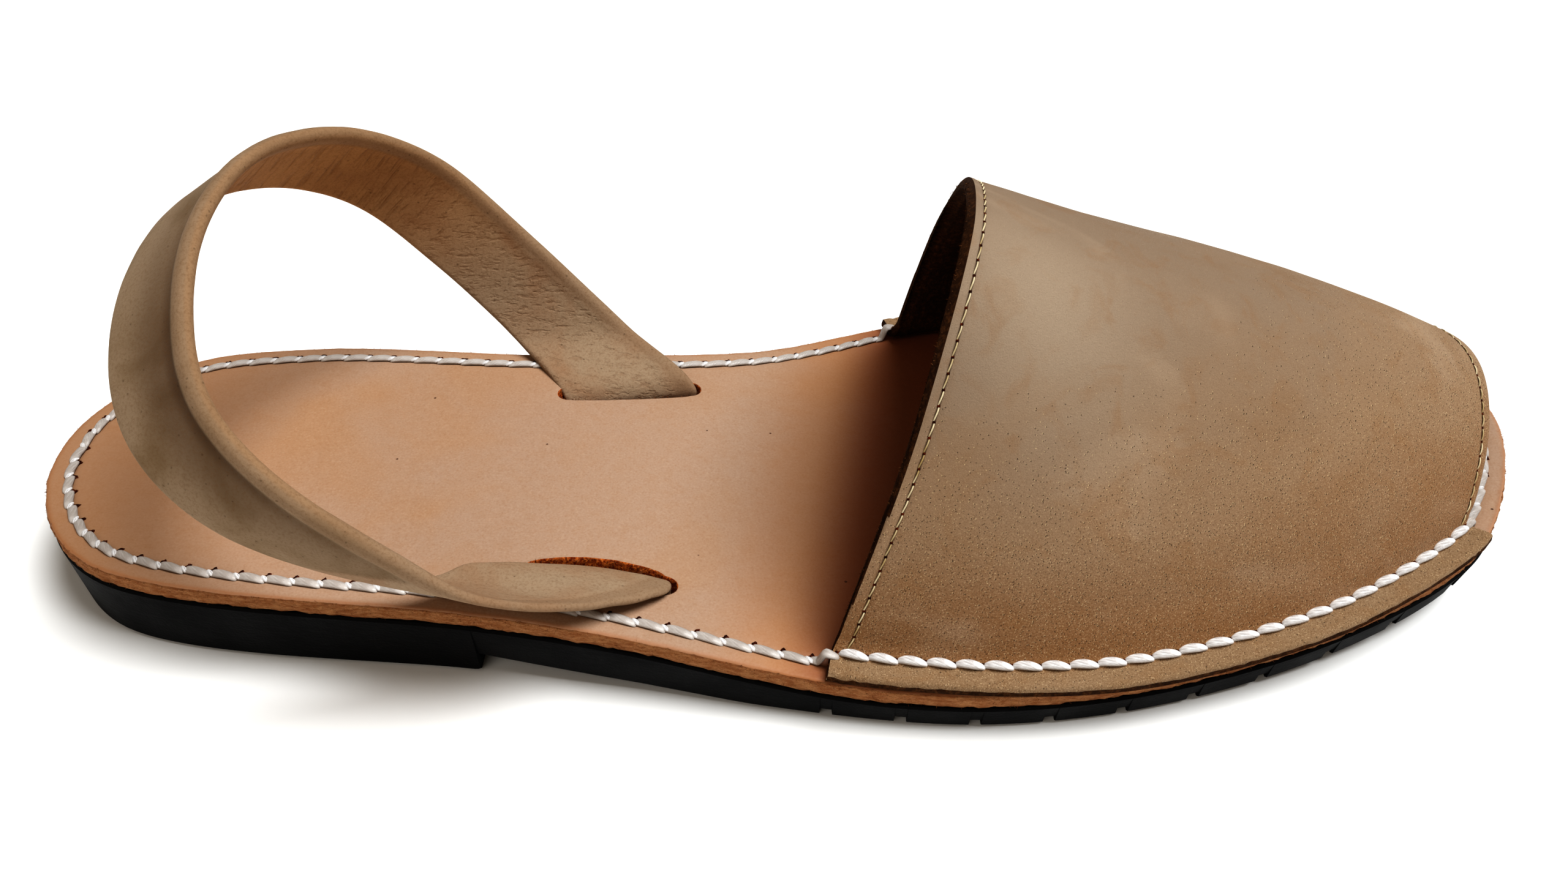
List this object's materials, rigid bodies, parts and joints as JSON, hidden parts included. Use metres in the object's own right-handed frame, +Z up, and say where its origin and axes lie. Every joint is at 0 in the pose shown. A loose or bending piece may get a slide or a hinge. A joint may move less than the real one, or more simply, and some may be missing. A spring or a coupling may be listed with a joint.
{
  "type": "slingback leather sandal",
  "caption": "Right-foot leather sandal: low rubber sole with heel block, flat leather footbed, closed instep piece open at throat and toe, and a heel strap through two slots.",
  "frame": {"origin": "centre of the bounding box in plan, on the surface that the sole stands on", "axes": "+X along the length towards the toe, +Y across towards the inner (medial) side, +Z up"},
  "size_m": [0.28, 0.1115, 0.0761],
  "materials": {
    "rubber_sole": "moulded matt black rubber",
    "footbed_leather": "natural vegetable-tanned leather, smooth",
    "vamp_nubuck": "brushed tan-brown nubuck with a short nap",
    "strap_leather": "soft tan-brown leather, folded edges"
  },
  "bodies": {
    "root": {"outsole": "rubber_sole", "insole": "footbed_leather", "vamp": "vamp_nubuck", "heel_strap": "strap_leather"}
  },
  "joints": []
}
